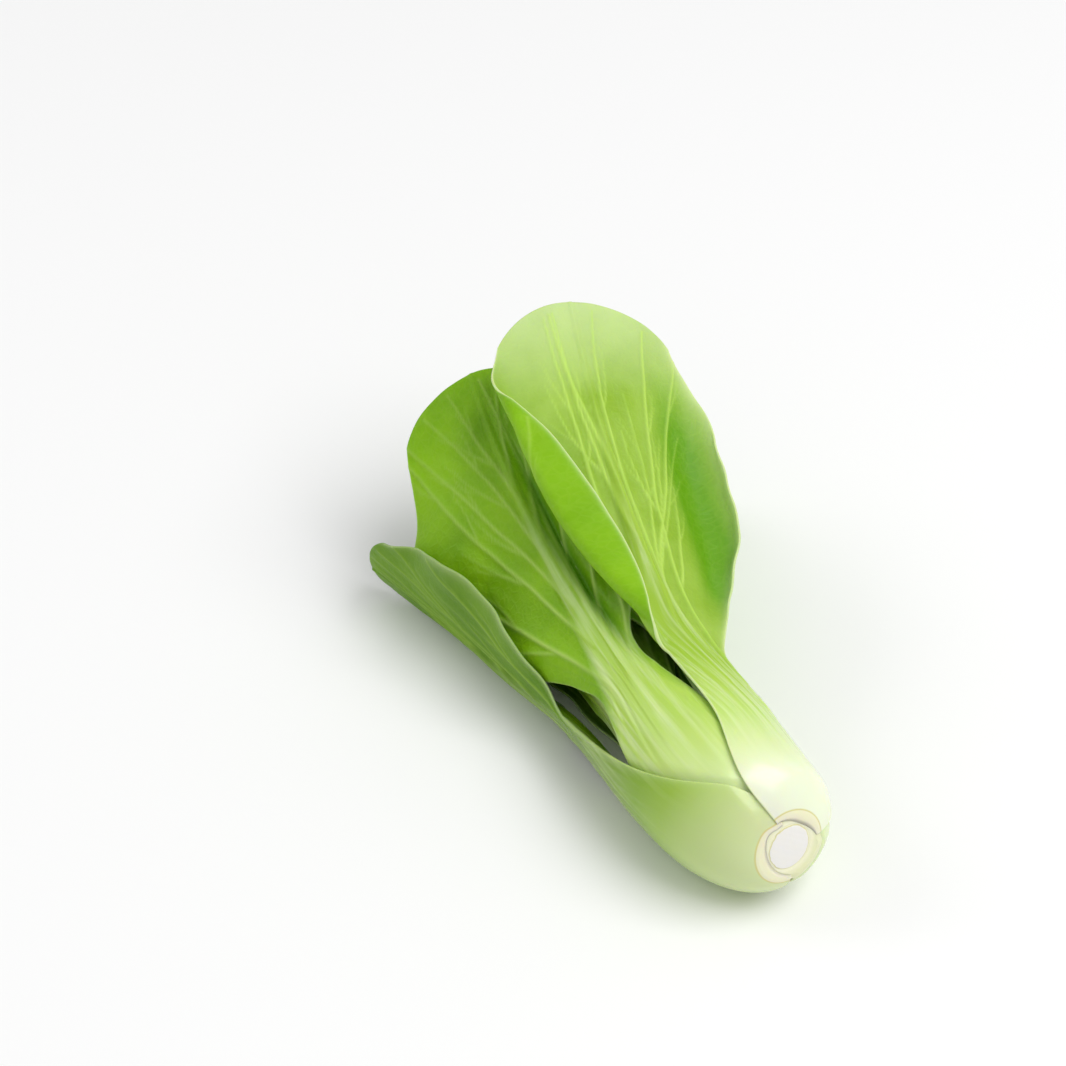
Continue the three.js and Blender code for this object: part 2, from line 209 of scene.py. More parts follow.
@dataclass(frozen=True)
class LeafForm:
    """One leaf: a stalk that clasps the head and opens into a blade.

    Azimuth is where the leaf grows, grip the half angle that its stalk clasps and sweep
    how far the blade turns aside, all in degrees. Nest is the share of the head's radius
    at which it grows and lean how far the blade falls outwards. The waist is where the
    stalk ends and the blade starts, and lobe how much lower it starts on the left.

    Peak is where along the blade it is widest, fall the share of its width that it then
    loses and drop how far its corners fall back from the tip. Flare widens the foot on a
    side, in degrees. The margins roll back over the outer side by roll_left and
    roll_right, with roll_extra more to roll up on the left. Each crease is a groove up the
    blade: its place across, its half width and its depth. Fan is how far the side veins
    turn outwards, in degrees, vein_pairs how many pairs there are, vein_span the share of
    the blade's length that they start from and relief how boldly they stand out.
    """

    node: str
    azimuth: float
    tip: float
    half_left: float
    half_right: float
    base: float = 0.0
    nest: float = 1.0
    lean: float = 20.0
    lean_from: float = 35.0
    grip: float = 60.0
    neck: float = 72.0
    sweep: float = 0.0
    thick: float = 6.0
    waist: float = 60.0
    waist_right: float = 60.0
    roll_left: float = 0.0
    roll_right: float = 0.0
    wave: float = 1.2
    phase: float = 0.0
    flat: float = 0.35
    drop: float = 16.0
    peak: float = 0.65
    fall: float = 0.31
    foot_turn: float = 0.0
    flare_left: float = 0.0
    flare_right: float = 0.0
    fan: float = 34.0
    rows: int = 130
    columns: int = 68
    foot_thickness: float = 2.4
    blade_thickness: float = 0.7
    roll_radius: float = 3.6
    left_turn: float = 2.7
    right_turn: float = 1.9
    tip_rounding: float = 0.9
    tip_thinning: Pair = (30.0, 6.0)
    low_rows: float = 0.2
    lean_length: float = 100.0
    lean_power: float = 1.7
    sweep_from: float = 50.0
    foot_turn_fade: Pair = (30.0, 75.0)
    stalk_fringe: float = 0.6
    least_rib: float = 0.2
    rib_rise: Pair = (70.0, 105.0)
    rib_share: float = 0.8
    flare_length: float = 18.0
    thin_from: float = 30.0
    thin_length: float = 75.0
    waves: float = 3.0
    roll_extra: float = 0.0
    creases: tuple[Triple, ...] = ()
    relief: float = 1.0
    vein_pairs: int = 8
    lobe: float = 0.0
    vein_span: float = 1.0

    def middle_radius(self, head: HeadForm, s: Array) -> Array:
        """Radius of the leaf's middle line: the head's radius and a growing lean."""
        beyond = past(s, self.lean_from) / self.lean_length
        return self.nest * head.radius(s) + self.lean * beyond**self.lean_power

    def middle_angle(self, s: Array) -> Array:
        """Angle of the middle line: the foot's eases into the blade's, which sweeps aside."""
        foot = self.foot_turn * fade(*self.foot_turn_fade, s)
        beyond = past(s, self.sweep_from) / self.lean_length
        return np.radians(self.azimuth + foot + self.sweep * beyond**2)

    def stalk_half_width(self, head: HeadForm, s: Array) -> Array:
        """Half width of the stalk, which narrows from a wide foot into the midrib."""
        clasp = math.radians(self.grip) * np.exp(-((s / self.neck) ** 1.6))
        return clasp * self.nest * head.radius(s)

    def half_width(self, head: HeadForm, s: Array, side: Array) -> Array:
        """Half width of the leaf on one side.

        Args:
            head: the head that the leaf grows in.
            s: heights along the axis.
            side: -1 left of the middle line and 1 right of it.

        Returns:
            The stalk's and the blade's half widths joined by their fourth powers. The
            blade's is a sine arch up to its widest place and then falls gently. The
            foot's thin edge flares past the stalk's, by a bell curve of the height.
        """
        waist = np.where(side > 0, self.waist_right, self.waist - self.lobe)
        along = np.clip((s - waist) / (self.tip - waist), 0.0, 1.0)
        full = np.where(side < 0, self.half_left, self.half_right)
        arch = np.sin(np.pi / 2.0 * np.minimum(along / self.peak, 1.0)) ** 0.9
        beyond = past(along, self.peak) / (1.0 - self.peak)
        blade = full * (arch - self.fall * beyond**2)
        spread = np.radians(np.where(side < 0, self.flare_left, self.flare_right))
        flare = spread * bell(s, self.flare_length) * self.nest * head.radius(s)
        return ((self.stalk_half_width(head, s) + flare) ** 4 + blade**4) ** 0.25

    def stalk_share(self, head: HeadForm, across: Array, s: Array) -> Array:
        """How far a place belongs to the stalk or midrib: 1 in its middle, 0 past its side."""
        width = self.stalk_half_width(head, s) + self.stalk_fringe
        return np.clip(1.0 - (across / width) ** 2, 0.0, 1.0) ** 1.2

    def thickness(self, head: HeadForm, across: Array, s: Array) -> Array:
        """Thickness of the leaf: fleshy along the stalk and midrib, thin at blade and tip."""
        rise = smoothstep(self.base, head.bulb_height, s)
        fleshy = self.foot_thickness + (self.thick - self.foot_thickness) * rise
        thinning = bell(past(s, self.thin_from), self.thin_length)
        middle = self.least_rib + (fleshy - self.blade_thickness - self.least_rib) * thinning
        from_tip, to_tip = self.tip_thinning
        middle = middle * fade(self.tip - from_tip, self.tip - to_tip, s)
        return self.blade_thickness + middle * self.stalk_share(head, across, s)

    def free_radius(self, head: HeadForm, turn: Array, s: Array) -> Array:
        """Outer radius where nothing holds the leaf in.

        Args:
            head: the head that the leaf grows in.
            turn: angles from the leaf's middle line.
            s: heights along the axis.

        Returns:
            The middle radius, flattened across the blade, with slow waves that grow
            towards the margins and the midrib standing out on the back.
        """
        middle = self.middle_radius(head, s)
        across = turn * middle
        side = np.sign(across)
        reach = np.minimum(np.abs(across) / self.half_width(head, s, side), 1.3)
        blade = smoothstep(self.waist - 10.0, self.waist + 40.0, s)
        along = (s - self.waist) / (self.tip - self.waist)
        cupped = middle / np.cos(np.clip(turn, -1.1, 1.1)) ** (self.flat * blade)
        ripple = np.sin(2.0 * np.pi * self.waves * along + self.phase + side)
        midrib = smoothstep(*self.rib_rise, s) * self.rib_share
        ridge = midrib * (self.thickness(head, across, s) - self.blade_thickness)
        return cupped + self.wave * blade * reach**2.5 * ripple + ridge

    def row_height(self, head: HeadForm, u: Array) -> Array:
        """Height of a row of the grid.

        Args:
            head: the head that the leaf grows in.
            u: places along the leaf, 0 at the foot and 1 at the tip.

        Returns:
            Heights with close rows round the bulb: a cosine below its widest place, and
            from there a parabola that goes on at the same pace.
        """
        span = head.bulb_height - self.base
        turn = math.pi / (2.0 * self.low_rows)
        low = self.base + span * (1.0 - np.cos(turn * np.minimum(u, self.low_rows)))
        beyond = past(u, self.low_rows)
        high = 1.0 - self.low_rows
        growth = (self.tip - head.bulb_height - span * turn * high) / high**2
        return low + span * turn * beyond + growth * beyond**2

    def tip_drop(self, share: Array) -> Array:
        """How far the tip's outline falls back at a share of the half width."""
        return self.drop * (1.0 - np.sqrt(1.0 - (self.tip_rounding * share) ** 2))


LEAVES: tuple[LeafForm, ...] = (
    LeafForm("leaf_1", 15, 169, 30, 35, foot_turn=25, lean=26, lean_from=20, grip=50,
             sweep=-1, thick=6.5, waist_right=49, roll_left=12, roll_right=9, wave=0.7,
             flat=0.6, drop=20, peak=0.56, fall=0.16, fan=12, rows=310, columns=142,
             roll_extra=6, flare_left=10, creases=((25.5, 6.5, 2.6),), relief=1.8, vein_pairs=5,
             vein_span=0.3),
    LeafForm("leaf_2", -112, 154, 27, 29, lean=23, lean_from=22, grip=68, neck=62, sweep=8,
             thick=6.5, waist=64, waist_right=64, wave=1.8, flare_right=32, phase=1, rows=240,
             columns=118),
    LeafForm("leaf_3", 108, 164, 31, 31, base=2, lean=22, neck=70, thick=6.5, waist=62,
             waist_right=62, phase=2, rows=240, columns=118),
    LeafForm("leaf_4", -30, 171, 37, 27, base=5.6, nest=0.97, lean=18, sweep=8, waist=56,
             waist_right=64, wave=2.2, phase=3, rows=320, columns=148,
             creases=((5.0, 1.7, 2.6),), lobe=5),
    LeafForm("leaf_5", -176, 150, 26, 26, base=4.2, lean=4, thick=5, neck=64, phase=4,
             rows=210, columns=104),
    LeafForm("leaf_6", 56, 156, 27, 27, base=8, nest=0.74, lean=12, thick=4.6, neck=80,
             phase=5),
    LeafForm("leaf_7", -82, 150, 25, 25, base=9, nest=0.68, lean=10, thick=4.2, neck=80,
             phase=6),
    LeafForm("leaf_8", 140, 142, 22, 22, base=10, nest=0.6, lean=5, thick=3.8, neck=80,
             waist=58, waist_right=58, phase=7),
    LeafForm("leaf_9", 3, 142, 22, 22, base=11, nest=0.5, lean=7, thick=3.4, neck=80,
             waist=56, waist_right=56, phase=8),
    LeafForm("leaf_10", -134, 112, 14, 14, base=12, nest=0.36, lean=3, thick=2.8, neck=80,
             waist=50, waist_right=50, wave=0.4, drop=11, phase=9),
)


@dataclass(frozen=True)
class Room:
    """The room that the leaves before a place in the list leave inside them.

    Each leaf's outer surface is held inside the room, and its inner surface, less a gap,
    becomes the room for the next. Past a leaf's margin or tip the room opens gently, and
    below its foot it opens fast.
    """

    head: HeadForm
    leaves: tuple[LeafForm, ...]
    stalk_gap: float = 0.6
    blade_gap: float = 1.8
    gap_rise: Pair = (60.0, 110.0)
    leaf_blend: float = 0.7
    room_blend: float = 0.5
    margin_opening: float = 0.12
    foot_opening: float = 3.0

    def gap(self, s: Array) -> Array:
        """Gap between neighbouring leaves, wider among the blades."""
        return self.stalk_gap + (self.blade_gap - self.stalk_gap) * smoothstep(*self.gap_rise, s)

    def inside(self, place: int, theta: Array, s: Array, gap: Array) -> Array:
        """Radius that is free inside the leaves before a place in the list.

        Args:
            place: how many leaves come before.
            theta: angles round the axis.
            s: heights along the axis.
            gap: gap to keep at each point.

        Returns:
            The soft minimum of each older leaf's inner radius less the gap.
        """
        room = np.full(np.shape(theta), 1000.0)
        for leaf in self.leaves[:place]:
            turn = wrapped(theta - leaf.middle_angle(s))
            across = turn * leaf.middle_radius(self.head, s)
            outer = soft_min(leaf.free_radius(self.head, turn, s), room, self.leaf_blend)
            depth = leaf.thickness(self.head, across, s) * self.head.slope_factor(s)
            width = leaf.half_width(self.head, s, np.sign(across))
            beyond = past(np.abs(across), width) + past(s, leaf.tip)
            under = past(leaf.base, s)
            inner = outer - depth - gap + self.margin_opening * beyond**2
            room = soft_min(room, inner + self.foot_opening * under**2, self.room_blend)
        return room

    def held(self, place: int, theta: Array, s: Array) -> Array:
        """Outer radius of the leaf at a place in the list, held inside the older ones."""
        leaf = self.leaves[place]
        free = leaf.free_radius(self.head, wrapped(theta - leaf.middle_angle(s)), s)
        return soft_min(free, self.inside(place, theta, s, self.gap(s)), self.leaf_blend)


@dataclass(frozen=True)
class Vein:
    """A vein as points across and along the leaf, with its half width and relief at each."""

    points: Array
    widths: Array
    relief: Array


@dataclass
class VeinTree:
    """The veins of one leaf, grown from the midrib into the blade.

    A vein runs along the midrib. Side veins leave it at a small angle, turn outwards as
    they go and fork into finer ones, and all of them end short of the margin.
    """

    head: HeadForm
    leaf: LeafForm
    seed: int
    step: float = 1.5
    wander: float = 0.04
    margin_share: float = 0.95
    tip_clearance: float = 2.0
    width_loss: float = 0.65
    rise_share: float = 0.18
    least_rise: float = 0.35
    below_waist: float = 22.0
    below_tip: float = 24.0
    midrib_width: float = 1.15
    side_width: float = 0.88
    vein_relief: float = 0.6
    fork_places: tuple[tuple[float, ...], ...] = ((0.45, 0.72), (0.34, 0.56, 0.76))
    fork_angles: Pair = (16.0, 26.0)
    fork_end_angle: float = 7.0
    fork_lengths: Pair = (0.45, 0.75)
    fork_width: float = 0.85
    fork_relief: float = 0.75
    box_margin: float = 4.0
    farthest: float = 6.0
    rng: np.random.Generator = field(init=False)

    def __post_init__(self) -> None:
        """Starts this leaf's own random numbers."""
        self.rng = np.random.default_rng(self.seed)

    def walk(self, start: Array, heading: float, final: float, length: float,
             width: float, relief: float) -> Vein:
        """Walks a vein from a point in even steps.

        Args:
            start: first point, as millimetres across and along.
            heading: first direction, as an angle from the leaf's length.
            final: last direction.
            length: length if the margin doesn't end it first.
            width: half width at the start.
            relief: height at the start.

        Returns:
            The vein. Its direction eases from the first to the last with a slow random
            wander. It rises over its first part and thins towards its end.
        """
        count = max(int(length / self.step), 4)
        share = np.linspace(0.0, 1.0, count)
        wander = np.cumsum(self.rng.normal(0.0, self.wander, count)) * 0.6
        angle = heading + (final - heading) * share**0.8 + wander
        moves = self.step * np.stack([np.sin(angle), np.cos(angle)], axis=-1)
        points = start + np.cumsum(moves, axis=0) - moves[0]
        across, s = points[:, 0], points[:, 1]
        width_there = self.leaf.half_width(self.head, s, np.sign(across))
        reach = np.clip(np.abs(across) / width_there, 0.0, 1.0)
        top = self.leaf.tip - self.leaf.tip_drop(reach) - self.tip_clearance
        outside = (reach > self.margin_share) | (s > top)
        last = int(np.argmax(outside)) if outside.any() else count
        thinning = 1.0 - self.width_loss * share[:last]
        rising = smoothstep(0.0, self.rise_share, share[:last])
        height = relief * thinning * (self.least_rise + (1.0 - self.least_rise) * rising)
        return Vein(points[:last], width * thinning, height)

    def forks(self, vein: Vein, side: float, depth: int) -> list[Vein]:
        """Grows the forks of a vein, and theirs.

        Args:
            vein: the vein to fork.
            side: -1 or 1, the side of the leaf that it is on.
            depth: how many more times it forks.

        Returns:
            The forks: the second turns inwards and the others outwards.
        """
        count = len(vein.points)
        if depth == 0 or count < 8:
            return []
        grown: list[Vein] = []
        for number, place in enumerate(self.fork_places[depth - 1]):
            index = int(np.clip((place + self.rng.normal(0.0, 0.04)) * count, 2, count - 3))
            ahead = vein.points[index + 1] - vein.points[index]
            heading = math.atan2(ahead[0], ahead[1])
            outward = -side if number == 1 else side
            turned = heading + outward * math.radians(self.rng.uniform(*self.fork_angles))
            length = self.step * (count - index) * self.rng.uniform(*self.fork_lengths)
            eased = heading + outward * math.radians(self.fork_end_angle)
            width = vein.widths[index] * self.fork_width
            relief = vein.relief[index] * self.fork_relief
            fork = self.walk(vein.points[index], turned, eased, length, width, relief)
            if len(fork.points) > 3:
                grown.append(fork)
                grown.extend(self.forks(fork, outward, depth - 1))
        return grown

    def grow(self) -> list[Vein]:
        """All the veins of the leaf: the midrib's, and side veins in pairs with their forks."""
        leaf = self.leaf
        first = leaf.waist - self.below_waist
        last = first + leaf.vein_span * (leaf.tip - self.below_tip - first)
        start = np.array([0.0, first + 10.0])
        grown = [self.walk(start, 0.0, 0.0, leaf.tip - start[1], self.midrib_width,
                           self.vein_relief * leaf.relief)]
        for number in range(leaf.vein_pairs):
            for side in (-1.0, 1.0):
                share = (number + (0.4 if side > 0 else 0.0)) / leaf.vein_pairs
                s = first + (last - first) * share**1.5 + self.rng.normal(0.0, 1.0)
                edge = leaf.stalk_half_width(self.head, np.array(s))
                start = np.array([side * (0.8 - 0.65 * share) * float(edge), s])
                final = side * math.radians(leaf.fan * (1.25 - 0.7 * share))
                heading = side * math.radians(leaf.fan * (0.45 - 0.2 * share))
                length = (leaf.tip - s) * 1.15
                vein = self.walk(start, heading, final, length, self.side_width - 0.2 * share,
                                 leaf.relief * (self.vein_relief - 0.25 * share))
                if len(vein.points) > 4:
                    grown.append(vein)
                    grown.extend(self.forks(vein, side, 2))
        return grown

    def fields(self, across: Array, s: Array) -> tuple[Array, Array, Array]:
        """Relief and marks of the veins over the leaf.

        Args:
            across: places across the leaf.
            s: heights along the axis.

        Returns:
            The raised height in millimetres, the share of vein in the colour, and the
            distance to the nearest vein. A vein's section is a bell curve.
        """
        relief = np.zeros(across.shape)
        mark = np.zeros(across.shape)
        nearest = np.full(across.shape, self.farthest)
        for vein in self.grow():
            low = vein.points.min(axis=0) - self.box_margin
            high = vein.points.max(axis=0) + self.box_margin
            near = (across > low[0]) & (across < high[0]) & (s > low[1]) & (s < high[1])
            if not near.any():
                continue
            distance, widths, heights = self.distances(vein, across[near], s[near])
            relief[near] = np.maximum(relief[near], heights * bell(distance, widths))
            sharp = bell(distance, 0.72 * widths + 0.1)
            mark[near] = np.maximum(mark[near], np.clip(heights / 0.45, 0.25, 1.0) * sharp)
            nearest[near] = np.minimum(nearest[near], distance)
        return relief, mark, nearest

    @staticmethod
    def distances(vein: Vein, across: Array, s: Array) -> tuple[Array, Array, Array]:
        """Distance of points to a vein, with its half width and relief at the nearest place.

        Args:
            vein: the vein.
            across: places across the leaf.
            s: heights along the axis.

        Returns:
            Distances, half widths and reliefs, each from the nearest of its segments.
        """
        here = np.stack([across, s], axis=-1)[:, None, :]
        start, end = vein.points[:-1], vein.points[1:]
        along = end - start
        share = np.einsum("ijk,jk->ij", here - start, along) / (along**2).sum(axis=1)
        share = np.clip(share, 0.0, 1.0)
        gaps = np.linalg.norm(here - (start + share[..., None] * along), axis=-1)
        best = gaps.argmin(axis=1)
        every = np.arange(len(best))
        part = share[every, best]
        widths = vein.widths[best] * (1.0 - part) + vein.widths[best + 1] * part
        heights = vein.relief[best] * (1.0 - part) + vein.relief[best + 1] * part
        return gaps[every, best], widths, heights


def normals_of(points: Array) -> Array:
    """Outward unit normals of a grid of points.

    Args:
        points: a grid of rows along a leaf and columns across it.

    Returns:
        The normalised cross product of the step across and the step along.
    """
    along = np.gradient(points, axis=0)
    across = np.gradient(points, axis=1)
    normal = np.cross(across, along)
    return normal / np.maximum(np.linalg.norm(normal, axis=-1, keepdims=True), 1e-9)


def mesh_object(name: str, points: Array, faces: Array, marks: dict[str, Array]) -> Piece:
    """Makes a smooth mesh object in the scene.

    Args:
        name: name of the piece.
        points: its vertices in millimetres.
        faces: its four-cornered faces.
        marks: numbers or vectors kept at each vertex for the material.

    Returns:
        The object, at the origin and unturned.
    """
    mesh = bpy.data.meshes.new(name)
    mesh.vertices.add(len(points))
    mesh.vertices.foreach_set("co", (points * MM).astype(np.float32).ravel())
    mesh.loops.add(faces.size)
    mesh.loops.foreach_set("vertex_index", faces.astype(np.int32).ravel())
    mesh.polygons.add(len(faces))
    mesh.polygons.foreach_set("loop_start", np.arange(0, faces.size, 4, dtype=np.int32))
    mesh.polygons.foreach_set("use_smooth", np.ones(len(faces), dtype=bool))
    for mark, values in marks.items():
        is_vector = values.ndim == 2
        kind = "FLOAT_VECTOR" if is_vector else "FLOAT"
        attribute = mesh.attributes.new(mark, kind, "POINT")
        attribute.data.foreach_set("vector" if is_vector else "value",
                                   values.astype(np.float32).ravel())
    mesh.update(calc_edges=True)
    mesh.validate()
    piece = bpy.data.objects.new(name, mesh)
    bpy.context.scene.collection.objects.link(piece)
    return piece


@dataclass
class Leaf:
    """One leaf of the head, from its form to its finished mesh.

    The blade is pillowed between the veins, which also show, sunk, on its inner side.
    Margin powers say how narrow the painted highlight along the margin is on the left and
    on the right, and a crease of the depth full_crease is painted fully in shade.
    """

    room: Room
    place: int
    form: LeafForm = field(init=False)
    rim_bulge: float = 0.28
    widest_bulge: float = 0.4
    ruffle_height: float = 0.32
    ridge_height: float = 0.055
    pillow_depth: float = 0.42
    pillow_width: float = 2.6
    inner_relief: float = 0.3
    full_crease: float = 2.0
    margin_highlight_powers: Pair = (90.0, 20.0)

    def __post_init__(self) -> None:
        """Takes the leaf's form from its place in the list."""
        self.form = self.room.leaves[self.place]

    def grid(self) -> tuple[Array, Array]:
        """Places along and across the leaf, with the columns closer at the margins."""
        form = self.form
        u = np.linspace(0.0, 1.0, form.rows)[:, None] * np.ones((1, form.columns))
        even = np.linspace(-1.0, 1.0, form.columns)[None, :] * np.ones((form.rows, 1))
        return u, np.sign(even) * (1.0 - (1.0 - np.abs(even)) ** 1.25)

    def rolled(self, row: Array, v: Array) -> tuple[Array, Array]:
        """Rolls the blade's margins back over its outer side.

        Args:
            row: heights of the rows.
            v: places across the leaf, from -1 to 1.

        Returns:
            How far across each point then lies, and how far it stands off the leaf: an
            arc of the roll's radius and past its full turn a straight strip.
        """
        form = self.form
        width = form.half_width(self.room.head, row, np.sign(v))
        along = np.clip((row - form.waist) / (form.tip - form.waist), 0.0, 1.0)
        curl = np.sin(np.pi * along**0.8)
        flat = width - np.where(v < 0, form.roll_left, form.roll_right) * curl
        full_turn = np.where(v < 0, form.left_turn, form.right_turn)
        place = np.abs(v) * (width + np.where(v < 0, form.roll_extra, 0.0) * curl)
        beyond = past(place, flat)
        turn = np.minimum(beyond / form.roll_radius, full_turn)
        straight = beyond - turn * form.roll_radius
        reach = (np.minimum(place, flat) + form.roll_radius * np.sin(turn)
                 + straight * np.cos(full_turn))
        lift = form.roll_radius * (1.0 - np.cos(turn)) + straight * np.sin(full_turn)
        return np.sign(v) * reach, lift

    def creased(self, plane: Array, s: Array) -> Array:
        """Depth of the long creases that run up the blade, each a bell curve across it."""
        form = self.form
        strength = smoothstep(form.waist + 4.0, form.waist + 30.0, s)
        strength = strength * fade(form.tip - 45.0, form.tip - 12.0, s)
        depth = np.zeros(plane.shape)
        for across, width, deep in form.creases:
            depth += deep * bell(plane - across, width)
        return depth * strength

    def ruffle(self, v: Array, s: Array) -> Array:
        """Small ruffles of the margin, three sines whose size grows towards the edge."""
        form = self.form
        blade = smoothstep(form.waist, form.waist + 30.0, s)
        edge = np.clip(np.abs(v), 0.0, 1.0) ** 5
        shift = form.phase * 1.7 + np.sign(v)
        waves = (np.sin(s / 2.9 + shift) + 0.7 * np.sin(s / 1.83 + 2.0 * shift)
                 + 0.5 * np.sin(s / 4.7 - shift))
        return self.ruffle_height * blade * edge * waves

    def stalk_ridges(self, v: Array, s: Array) -> Array:
        """Fine ridges that run along the stalk and draw together at the neck."""
        form = self.form
        strength = smoothstep(8.0, 45.0, s) * fade(form.waist + 5.0, form.waist + 45.0, s)
        lines = (np.cos(v * 31.0 + form.phase) + 0.6 * np.cos(v * 53.0 + 2.0 * form.phase)
                 + 0.4 * np.cos(v * 19.0 - form.phase))
        return self.ridge_height * strength * lines

    def stalk_mark(self, share: Array, s: Array) -> Array:
        """How far a place looks like stalk: the whole foot, then the midrib up the blade."""
        form = self.form
        midrib = np.clip(share * 1.6, 0.0, 1.0) * fade(form.waist + 10.0, form.tip - 20.0, s)
        return np.clip(midrib + fade(form.waist - 22.0, form.waist + 4.0, s), 0.0, 1.0)

    def build(self) -> Piece:
        """Builds the leaf as a closed mesh with its veins, ridges and rounded rim.

        Returns:
            The leaf's object, with marks for its material.
        """
        form, head = self.form, self.room.head
        u, v = self.grid()
        row = form.row_height(head, u)
        s = row - form.tip_drop(v) * smoothstep(0.55, 1.0, u) ** 1.5
        across, lift = self.rolled(row, v)
        theta = form.middle_angle(s) + across / form.middle_radius(head, s)
        plane = v * form.half_width(head, row, np.sign(v))
        creases = self.creased(plane, s)
        radius = self.room.held(self.place, theta, s) + lift - creases
        depth = form.thickness(head, plane, s)
        share = form.stalk_share(head, plane, s)
        tree = VeinTree(head, form, seed=31 + self.place)
        relief, mark, nearest = tree.fields(plane, s)
        blade = smoothstep(form.waist - 12.0, form.waist + 25.0, s) * (1.0 - share)
        sunk = self.pillow_depth * blade * (1.0 - bell(nearest, self.pillow_width))

        outer = head.lay_down(radius, theta, s)
        normal = normals_of(outer)
        low = head.lay_down(radius - depth * head.slope_factor(s), theta, s)
        level = smoothstep(3.0, 14.0, s)[..., None]
        inner = low + (outer - normal * depth[..., None] - low) * level
        shape = self.ruffle(v, s) - sunk
        back = shape + relief * (0.7 + 0.3 * blade) + self.stalk_ridges(v, s)
        front = shape - self.inner_relief * relief * blade
        outer = self.on_table(outer + normal * back[..., None])
        inner = self.on_table(inner + normal * front[..., None])
        rim, rim_index = self.rim(outer, inner)

        def both(values: Array) -> Array:
            """A mark on the outer face, the inner face and the rim."""
            flat = values.reshape(-1, *values.shape[2:])
            return np.concatenate([flat, flat, flat[rim_index]])

        count = form.rows * form.columns
        upper = np.concatenate([np.zeros(count), np.ones(count), np.full(len(rim_index), 0.5)])
        plane_marks = np.stack([plane, s, np.full(s.shape, form.phase * 40.0)], axis=-1) * MM
        marks = {
            "leaf_plane": both(plane_marks),
            "leaf_height": both(s / HEIGHT_UNIT),
            "leaf_stalk": both(self.stalk_mark(share, s)),
            "leaf_vein": both(mark * (0.45 + 0.55 * blade)),
            # painted highlight along the margins, narrow on the left and wider on the right
            "leaf_margin": both(np.abs(v) ** np.where(v < 0, *self.margin_highlight_powers)),
            # painted shade in the creases, full at the depth full_crease
            "leaf_painted_crease_shade": both(np.clip(creases / self.full_crease, 0.0, 1.0)),
            "leaf_upper": upper,
        }
        points = np.concatenate([outer.reshape(-1, 3), inner.reshape(-1, 3), rim])
        return mesh_object(f"{form.node}_fine", points, self.faces(rim_index), marks)

    @staticmethod
    def on_table(points: Array) -> Array:
        """Points with none of them under the table."""
        points[..., 2] = np.maximum(points[..., 2], 0.0)
        return points

    def rim_loop(self) -> Array:
        """The grid's edge as one loop: foot, right side, tip backwards, left side down."""
        rows, columns = self.form.rows, self.form.columns
        foot = np.arange(columns)
        right = np.arange(1, rows) * columns + columns - 1
        tip = (rows - 1) * columns + np.arange(columns - 2, -1, -1)
        left = np.arange(rows - 2, 0, -1) * columns
        return np.concatenate([foot, right, tip, left])

    def rim(self, outer: Array, inner: Array) -> tuple[Array, Array]:
        """Points half way round the leaf's rim, which make it round.

        Args:
            outer: the outer grid.
            inner: the inner grid.

        Returns:
            The middle of each pair of edge points, pushed outwards by a share of the
            thickness, and the index of each in the grid.
        """
        rows, columns = self.form.rows, self.form.columns
        loop = self.rim_loop()
        r, c = loop // columns, loop % columns
        middle = (outer[r, c] + inner[r, c]) / 2.0
        inside = outer[np.clip(r, 1, rows - 2), np.clip(c, 1, columns - 2)]
        away = outer[r, c] - inside
        away /= np.maximum(np.linalg.norm(away, axis=-1, keepdims=True), 1e-9)
        depth = np.linalg.norm(outer[r, c] - inner[r, c], axis=-1, keepdims=True)
        at_foot = (r == 0)[:, None]
        bulge = np.where(at_foot, 0.0, np.minimum(self.rim_bulge * depth, self.widest_bulge))
        return self.on_table(middle + away * bulge), loop

    def faces(self, loop: Array) -> Array:
        """Four-cornered faces of the outer grid, the inner grid and the rim between them."""
        rows, columns = self.form.rows, self.form.columns
        count = rows * columns
        corner = (np.arange(rows - 1)[:, None] * columns + np.arange(columns - 1)).ravel()
        outer = np.stack([corner, corner + 1, corner + columns + 1, corner + columns], axis=-1)
        inner = outer[:, ::-1] + count
        following = np.roll(loop, -1)
        middle = 2 * count + np.arange(len(loop))
        middle_next = np.roll(middle, -1)
        upper = np.stack([following, loop, middle, middle_next], axis=-1)
        lower = np.stack([middle_next, middle, loop + count, following + count], axis=-1)
        return np.concatenate([outer, inner, upper, lower])


